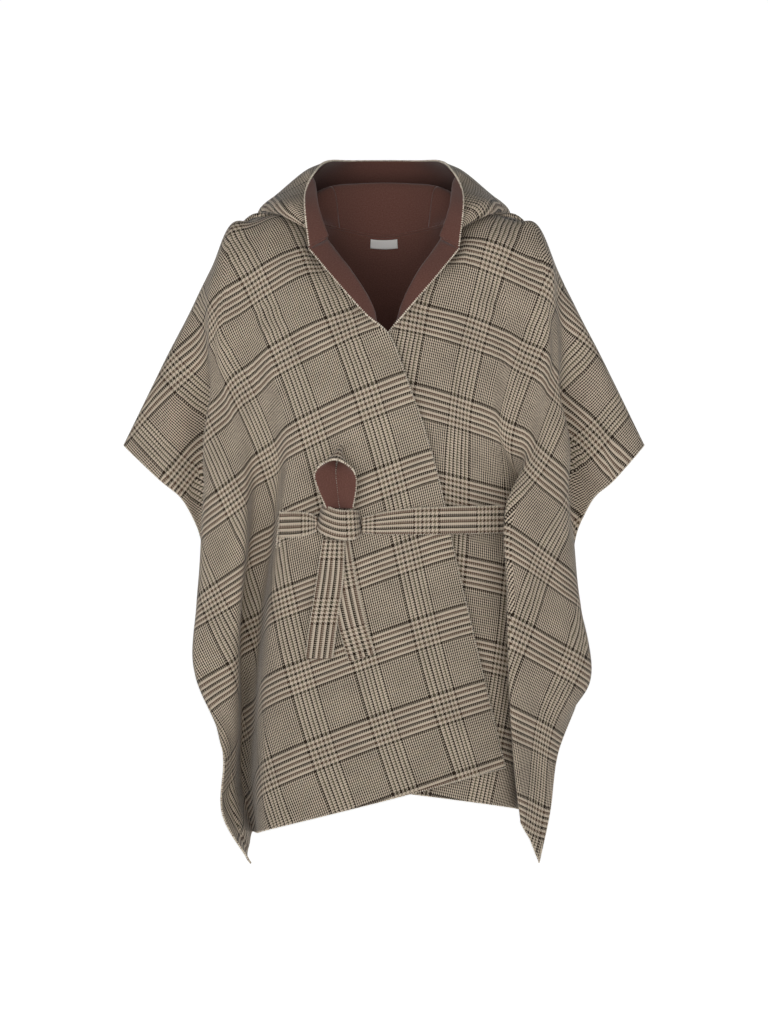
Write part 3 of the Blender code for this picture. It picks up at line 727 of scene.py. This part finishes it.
# HOOD
# Three panels of the same wool, two sides and a centre strip, sewn together and to the neckline. The hood lies
# back on the shoulders: up from the neck seam, over a near fold, down into the pouch and up its outer wall to
# the rim.
HoodSection = namedtuple("HoodSection", "share seam near pouch wall roll rim")
HOOD = [
    HoodSection(0.00, (-85, -66, -24.6), (-87, -67, -24), (-90, -68, -24), (-92, -70, -24.2),
                (-90, -71, -26.2), (-111, -85, -38.6)),
    HoodSection(0.14, (-101, -48, -13), (-124, -53, 3), (-144, -57, 8), (-136, -60, 24),
                (-100, -66, 22), (-117, -86, 12)),
    HoodSection(0.30, (-109, 0, 10.5), (-142, 2, 24), (-178, 7, 22), (-158, -2, 42), (-104, -24, 60),
                (-117, -50, 47)),
    HoodSection(0.48, (-97, 26, 7), (-126, 42, 32), (-186, 62, 12), (-174, 58, 38), (-112, 14, 83),
                (-103, -3, 80)),
    HoodSection(0.68, (-67, 54, 1), (-78, 72, 62), (-156, 132, -34), (-152, 142, 34), (-97, 98, 95),
                (-84, 92, 104)),
    HoodSection(0.84, (-34, 70, -6.5), (-40, 90, 68), (-82, 166, -92), (-92, 196, 10), (-62, 150, 97),
                (-52, 144, 109)),
    HoodSection(1.00, (0, 76, -10), (0, 96, 70), (0, 176, -112), (0, 214, 0), (0, 170, 98), (0, 162, 111)),
]
HOOD_COLUMN_LENGTHS = (70, 130, 120, 90, 28)
HOOD_COLUMN_CELLS = (16, 26, 24, 18, 10)
HOOD_CENTRE_SHARE = 0.68
HOOD_SIDE_COLUMNS = 56
HOOD_CENTRE_COLUMNS = 48


def hood_grid(down, across):
    """The hood from its neck seam (down 0) to its rim (down 1), across from one end to the other."""
    rows = [[np.array(p, float) for p in s[1:]] for s in HOOD]
    full = rows + [[p * (-1, 1, 1) for p in row] for row in rows[-2::-1]]
    shares = [s.share for s in HOOD]
    ring = np.array(shares + [2.0 - s for s in shares[-2::-1]]) - 1.0
    grid = loft(full, ring, column_knots(HOOD_COLUMN_LENGTHS), across, down)
    return grid.transpose(1, 0, 2)[:, ::-1]


def seat_on_neck(grid):
    """Draws the hood's first threads to the tops of the fronts and the back, where the neck seam holds them."""
    tops = np.concatenate([right_grid[0], left_grid[0], back_form[0]])
    nearest = np.linalg.norm(grid[0][:, None] - tops[None], axis=2).argmin(axis=1)
    along = np.gradient(grid[0], axis=0)
    along /= np.linalg.norm(along, axis=1, keepdims=True)
    move = tops[nearest] + (0.0, 0.0, SEAM_GAP) - grid[0]
    move -= along * (move * along).sum(axis=1, keepdims=True)
    fade = np.clip(1.0 - np.arange(len(grid)) / HOOD_COLUMN_CELLS[0], 0.0, 1.0) ** 2
    grid += fade[:, None, None] * move


hood_down = spread(column_knots(HOOD_COLUMN_LENGTHS), HOOD_COLUMN_CELLS)
side_places = np.linspace(-1.0, HOOD_CENTRE_SHARE - 1.0, HOOD_SIDE_COLUMNS)
centre_places = np.linspace(HOOD_CENTRE_SHARE - 1.0, 1.0 - HOOD_CENTRE_SHARE, HOOD_CENTRE_COLUMNS)
hood_form = hood_grid(hood_down, np.concatenate([side_places, centre_places[1:-1], -side_places[::-1]]))
seat_on_neck(hood_form)
for node, columns in (
    ("hood_right", slice(-HOOD_SIDE_COLUMNS, None)),
    ("hood_centre", slice(HOOD_SIDE_COLUMNS - 1, 1 - HOOD_SIDE_COLUMNS)),
    ("hood_left", slice(0, HOOD_SIDE_COLUMNS)),
):
    form = hood_form[:, columns]
    middle = form.shape[1] // 2
    cut = turned(panel_cut(form), (-1, middle), (0, middle), (0.0, 0.0))
    panel = cut_and_shape(node + "_cloth", form, cut, CLOTH_THICKNESS, WOOL, ["top", "first", "last"])
    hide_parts(node)
    rim_stitches = hand_stitches(node + "_stitches", [(form[-1], form[-2])], seed=14)

# Inside, the neck seam is felled: its allowances are rolled together into a low brown ridge along the join,
# which goes on across the turned-out strip at each front.
FELL_RADIUS = 1.9
FELL_DROP = 0.6
FELL_WALL = 0.5
FELL_SIDES = 10
strip = hood_down >= column_knots(HOOD_COLUMN_LENGTHS)[-2]
hood_line = np.concatenate([hood_form[strip, 0][::-1], hood_form[0], hood_form[strip, -1]])
fell_line = hood_line - (0.0, 0.0, FELL_DROP)
fell_along = np.gradient(fell_line, axis=0)
fell_along /= np.linalg.norm(fell_along, axis=1, keepdims=True)
fell_side = np.cross(fell_along, (0.0, 0.0, 1.0))
fell_side /= np.linalg.norm(fell_side, axis=1, keepdims=True)
fell_up = np.cross(fell_side, fell_along)
fell_turns = np.linspace(0.0, 2 * np.pi, FELL_SIDES + 1)
fell_form = np.stack([
    fell_line + FELL_RADIUS * (np.cos(turn) * fell_side + np.sin(turn) * fell_up) for turn in fell_turns
])
fell_cut = np.stack(np.meshgrid(length_along(fell_line), fell_turns * FELL_RADIUS), axis=2)
fell = cut_and_shape("neck_seam_fell", fell_form, fell_cut, FELL_WALL, (BROWN, BROWN, BROWN))

# NECK LABEL
# A short piece of blank white ribbon, woven in fine ribs, sewn flat to the inside of the back just under the
# neck seam. Its top, bottom and half width are shares of the back panel.
LABEL_THICKNESS = 0.8
LABEL_TOP = 0.008
LABEL_BOTTOM = 0.026
LABEL_HALF_WIDTH = 0.0505
LABEL_LIFT = 1.2 * (CLOTH_THICKNESS / 2 + SEAM_GAP + LABEL_THICKNESS / 2)
# Smooth woven ribbon: near white, with a little gloss, and painted shadow as grey lines in the troughs
# between its ribs. The ribs' spacing is in millimetres, wider than on real ribbon so that they show. A wave
# texture of scale 1 has its bands WAVE_REPEAT apart.
LABEL_WHITE = "#e9e6e2"
LABEL_PAINTED_RIB_SHADOW = "#cfccc9"
RIB_SPACING = 1.6
RIB_RISE = 0.0003
WAVE_REPEAT = 0.314


def woven_ribbon():
    material, tree, shader = start_material("woven_label_ribbon")
    cut = add_node(tree, "ShaderNodeUVMap", {"uv_map": "cut"})
    rib_relief_and_shadow = add_node(tree, "ShaderNodeTexWave", {"bands_direction": "Y"}, Vector=cut,
                    Scale=1000 / RIB_SPACING * WAVE_REPEAT, Distortion=0.4).outputs[1]
    # Painted shadow: where the rib bump is low, between the ribs, the colour goes grey.
    mixed = add_node(tree, "ShaderNodeMix", {"data_type": "RGBA"}, i0=rib_relief_and_shadow, i6=linear(LABEL_PAINTED_RIB_SHADOW),
                     i7=linear(LABEL_WHITE))
    ridge = add_node(tree, "ShaderNodeBump", Strength=0.3, Distance=RIB_RISE, Height=rib_relief_and_shadow)
    tree.links.new(mixed.outputs[2], shader.inputs["Base Color"])
    tree.links.new(ridge.outputs[0], shader.inputs["Normal"])
    shader.inputs["Roughness"].default_value = 0.55
    return material


RIBBON = woven_ribbon()
label_down = np.linspace(LABEL_TOP, LABEL_BOTTOM, 10)
label_grid = back_grid(label_down, np.linspace(LABEL_HALF_WIDTH, -LABEL_HALF_WIDTH, 24))[:, ::-1]
label_grid += (0.0, -LABEL_LIFT, 0.0)
label_cut = panel_cut(label_grid, 1)
label = cut_and_shape("neck_label_ribbon", label_grid, label_cut, LABEL_THICKNESS, (RIBBON, RIBBON, RIBBON))
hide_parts("neck_label")

# TIE BELT
# One long strap of the same wool, cut across the cloth so that the dark lines run along it. It comes out of a
# slit on each side, is tied on the right front in a knot with one loop, and its two tails hang down.
BELT_THICKNESS = 3.0
BELT_CLEARANCE = 1.5
TAIL_STEP = 6.0
TAIL_REST = 0.9
STRAP_COLUMNS = 13
STRAP_CHECK_START = 5.0
FOLD_COLUMN = sum(FRONT_COLUMN_CELLS[:4])
BeltPlace = namedtuple("BeltPlace", "x depth z lean width")
UPRIGHT = (0.0, 0.0, 1.0)
SIDEWAYS = (1.0, 0.0, 0.0)
BELT_RIGHT_RUN = [
    BeltPlace(-32, -136, -450, UPRIGHT, 22),
    BeltPlace(-10, None, -448, UPRIGHT, 30),
    BeltPlace(28, None, -445, UPRIGHT, 37),
    BeltPlace(84, None, -443, UPRIGHT, 40),
    BeltPlace(130, -108, -442, UPRIGHT, 40),
    BeltPlace(178, -84, -441, UPRIGHT, 40),
]
BELT_LEFT_RUN = [
    BeltPlace(-154, None, -450, UPRIGHT, 38),
    BeltPlace(-128, None, -449, UPRIGHT, 37),
    BeltPlace(-108, -124, -448, UPRIGHT, 30),
    BeltPlace(-99, -134, -448, UPRIGHT, 20),
]
BELT_BACK_RUN = [
    BeltPlace(-134, -100.3, -449, UPRIGHT, 40),
    BeltPlace(-166, -34, -448, UPRIGHT, 40),
    BeltPlace(-170, 20, -446, UPRIGHT, 40),
    BeltPlace(-130, 80, -443, UPRIGHT, 40),
    BeltPlace(0, 112, -440, UPRIGHT, 40),
    BeltPlace(130, 80, -442, UPRIGHT, 40),
    BeltPlace(172, 20, -443, UPRIGHT, 40),
    BeltPlace(172, -30, -442, UPRIGHT, 40),
    BeltPlace(150, -80, -441, UPRIGHT, 40),
]
BELT_LOOP = [
    BeltPlace(-55, -140, -425, (-0.85, 0.50, 0.0), 22),
    BeltPlace(-55, -147, -403, (-0.90, 0.42, 0.0), 30),
    BeltPlace(-56, -148, -378, (-0.90, 0.42, 0.10), 34),
    BeltPlace(-58, -147, -356, (-0.40, 0.80, 0.40), 36),
    BeltPlace(-66, -147, -343, (0.20, 0.75, 0.60), 37),
    BeltPlace(-80, -147, -355, (0.58, 0.75, 0.30), 36),
    BeltPlace(-86, -148, -373, (0.92, 0.42, 0.08), 34),
    BeltPlace(-82, -148, -398, (0.92, 0.40, 0.0), 30),
    BeltPlace(-75, -140, -425, (0.85, 0.50, 0.0), 22),
]
BELT_TAIL_LONG = [
    BeltPlace(-74, None, -471, SIDEWAYS, 32),
    BeltPlace(-78, None, -520, SIDEWAYS, 38),
    BeltPlace(-88, None, -590, SIDEWAYS, 40),
    BeltPlace(-95, None, -645, SIDEWAYS, 40),
]
BELT_TAIL_SHORT = [
    BeltPlace(-66, None, -470, SIDEWAYS, 30),
    BeltPlace(-60, None, -530, (1.0, 0.0, 0.25), 38),
    BeltPlace(-48, None, -590, (1.0, 0.0, 0.30), 40),
    BeltPlace(-32, None, -644, (1.0, 0.0, 0.30), 40),
]
BELT_KNOT = [
    BeltPlace(-94, -129, -436, (0.30, 0.0, 0.95), 34),
    BeltPlace(-88, -142, -441, (0.22, 0.0, 0.97), 40),
    BeltPlace(-66, -150, -449, (0.0, -0.05, 1.0), 43),
    BeltPlace(-44, -146, -449, (-0.08, 0.0, 1.0), 42),
    BeltPlace(-36, -133, -447, (-0.10, 0.0, 1.0), 36),
]


def panel_depth(x, z):
    """Depth of the right front's middle at a place on the body, where the panel is one layer."""
    body = right_grid[:, : FOLD_COLUMN + 1].reshape(-1, 3)
    away = np.hypot(body[:, 0] - x, body[:, 2] - z)
    nearest = np.argsort(away)[:4]
    weights = 1.0 / (away[nearest] + 0.1)
    return float((body[nearest, 1] * weights).sum() / weights.sum())


def strap_depth(place, lean, distance):
    """A strap's depth: its own, or clear of the panel under its middle and both its edges."""
    if place.depth is not None:
        return place.depth
    reach = [lean * place.width * side for side in (-0.5, 0.0, 0.5)]
    return min(panel_depth(place.x + r[0], place.z + r[2]) for r in reach) - distance


def strap(places, count, distance, start):
    """Middle points of a strap and its flat cut, whose length runs along the weft."""
    leans = np.array([p.lean for p in places], float)
    leans /= np.linalg.norm(leans, axis=1, keepdims=True)
    lines = np.array([(p.x, strap_depth(p, lean, distance), p.z) for p, lean in zip(places, leans)], float)
    knots = length_along(lines)
    values = np.linspace(0.0, knots[-1], count)
    line = smooth_curve(lines, knots, values)
    lean = smooth_curve(leans, knots, values)
    width = smooth_curve(np.array([p.width for p in places], float), knots, values)
    share = np.linspace(0.5, -0.5, STRAP_COLUMNS)
    grid = line[:, None, :] + lean[:, None, :] * (width[:, None] * share)[:, :, None]
    along = np.repeat(length_along(line)[:, None] + start, len(share), axis=1)
    across = np.repeat((0.5 - share)[None, :] * np.mean(width), count, axis=0) + STRAP_CHECK_START
    return grid, np.stack([along, across], axis=2)


on_front = (CLOTH_THICKNESS + BELT_THICKNESS) / 2 + BELT_CLEARANCE
for node, places, count, distance, start in (
    ("belt_right_run", BELT_RIGHT_RUN, 70, on_front, 20.0),
    ("belt_left_run", BELT_LEFT_RUN, 30, on_front, 60.0),
    ("belt_back_run", BELT_BACK_RUN, 160, 0.0, 0.0),
    ("belt_loop", BELT_LOOP[::-1], 90, 0.0, 50.0),
    ("belt_tail_long", BELT_TAIL_LONG, 60, on_front + TAIL_STEP, 10.0),
    ("belt_tail_short", BELT_TAIL_SHORT, 60, on_front - TAIL_REST, 60.0),
    ("belt_knot", BELT_KNOT, 40, 0.0, 45.0),
):
    form, cut = strap(places, count, distance, start)
    piece = cut_and_shape(node + "_strap", form, cut, BELT_THICKNESS, WOOL)
    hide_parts(node)
    strap_edges = [(form[:, 0], form[:, 1]), (form[:, -1], form[:, -2])]
    strap_stitches = hand_stitches(node + "_stitches", strap_edges, seed=15)

# The slit that the belt comes out of on the right front is edged by two short rows of the same hand stitches,
# sewn on the panel's outer face along its fold.
SLIT_TOP = -424.0
SLIT_BOTTOM = -487.0
right_face = right_grid + outward(right_grid) * CLOTH_THICKNESS / 2
fold_heights = right_face[:, FOLD_COLUMN, 2]
beside_slit = right_face[(fold_heights < SLIT_TOP) & (fold_heights > SLIT_BOTTOM)]
slit_rows = [
    (beside_slit[:, FOLD_COLUMN], beside_slit[:, FOLD_COLUMN - 1]),
    (beside_slit[:, FOLD_COLUMN + 2], beside_slit[:, FOLD_COLUMN + 3]),
]
hand_stitches("right_slit_stitches", slit_rows, seed=16)

# FLOOR, LIGHT AND CAMERA
# A plain pale paper floor well below the hem, and soft studio light: one very large soft box in front, a small
# one to its left and one behind, with a faint light from all round. The camera looks straight at the front.
FLOOR_HEIGHT = -1.40
FLOOR_REACH = 30.0
floor_mesh = bmesh.new()
bmesh.ops.create_grid(floor_mesh, x_segments=1, y_segments=1, size=FLOOR_REACH)
bmesh.ops.translate(floor_mesh, verts=floor_mesh.verts, vec=(0.0, 0.0, FLOOR_HEIGHT))
floor_data = bpy.data.meshes.new("floor")
floor_mesh.to_mesh(floor_data)
floor_mesh.free()
floor = bpy.data.objects.new("floor", floor_data)
bpy.context.scene.collection.objects.link(floor)
# Matt white paper with painted light: it glows as lit paper does all round, so that it goes over into the
# white ground behind, and less on the patch in front of the garment, so that it doesn't light the cloth from
# below; that patch shows as a dim pool of painted shade.
FLOOR_WHITE = "#fbfbfa"
GLOW_WHITE = "#ffffff"
NEAR_GLOW = 0.2
FAR_GLOW = 0.95
PATCH_CENTRE = (0.0, -1.2, FLOOR_HEIGHT)
PATCH_START = 1.4
PATCH_END = 2.7
paper, paper_tree, paper_shader = start_material("pale_floor_paper")
floor_place = add_node(paper_tree, "ShaderNodeTexCoord").outputs["Object"]
# Painted light and shade: the paper's glow grows with the distance from the patch in front of the garment.
away = add_node(paper_tree, "ShaderNodeVectorMath", {"operation": "DISTANCE"}, i0=floor_place, i1=PATCH_CENTRE)
paper_glow = add_node(paper_tree, "ShaderNodeMapRange", Value=away.outputs[1], From_Min=PATCH_START,
                      From_Max=PATCH_END, To_Min=NEAR_GLOW, To_Max=FAR_GLOW)
paper_tree.links.new(paper_glow.outputs[0], paper_shader.inputs["Emission Strength"])
paper_shader.inputs["Base Color"].default_value = linear(FLOOR_WHITE)
paper_shader.inputs["Roughness"].default_value = 0.9
paper_shader.inputs["Emission Color"].default_value = linear(GLOW_WHITE)
floor_data.materials.append(paper)

bpy.context.scene.view_settings.view_transform = "Standard"
ROOM_LIGHT = 0.06
GROUND_LIGHT = 1.02
AIM_HEIGHT = -0.4
world = bpy.data.worlds.new("studio")
bpy.context.scene.world = world
world.use_nodes = True
seen = add_node(world.node_tree, "ShaderNodeLightPath").outputs["Is Camera Ray"]
glow = add_node(world.node_tree, "ShaderNodeMapRange", Value=seen, To_Min=ROOM_LIGHT, To_Max=GROUND_LIGHT)
world.node_tree.nodes["Background"].inputs["Color"].default_value = linear(GLOW_WHITE)
world.node_tree.links.new(glow.outputs[0], world.node_tree.nodes["Background"].inputs["Strength"])
SoftBox = namedtuple("SoftBox", "name place size power")
for box in (
    SoftBox("key_light", (-0.3, -4.8, -0.2), 7.0, 188),
    SoftBox("fill_light", (-1.2, -4.8, -0.6), 1.6, 16),
    SoftBox("back_light", (0.6, 4.6, 0.8), 3.0, 60),
):
    lamp_data = bpy.data.lights.new(box.name, "AREA")
    lamp_data.shape = "DISK"
    lamp_data.size = box.size
    lamp_data.energy = box.power
    lamp = bpy.data.objects.new(box.name, lamp_data)
    bpy.context.scene.collection.objects.link(lamp)
    lamp.location = box.place
    aim = lamp.location.copy()
    aim.z -= AIM_HEIGHT
    lamp.rotation_euler = aim.to_track_quat("Z", "Y").to_euler()

CAMERA_DISTANCE = 6.0
SENSOR_SIZE = 36.0
PICTURE_HEIGHT = 1.536
PICTURE_MIDDLE = -0.4305
camera_data = bpy.data.cameras.new("camera")
camera_data.sensor_width = SENSOR_SIZE
camera_data.lens = SENSOR_SIZE * CAMERA_DISTANCE / PICTURE_HEIGHT
camera = bpy.data.objects.new("camera", camera_data)
bpy.context.scene.collection.objects.link(camera)
camera.location = (0.0, -CAMERA_DISTANCE, PICTURE_MIDDLE)
camera.rotation_euler = (np.pi / 2, 0.0, 0.0)
bpy.context.scene.camera = camera
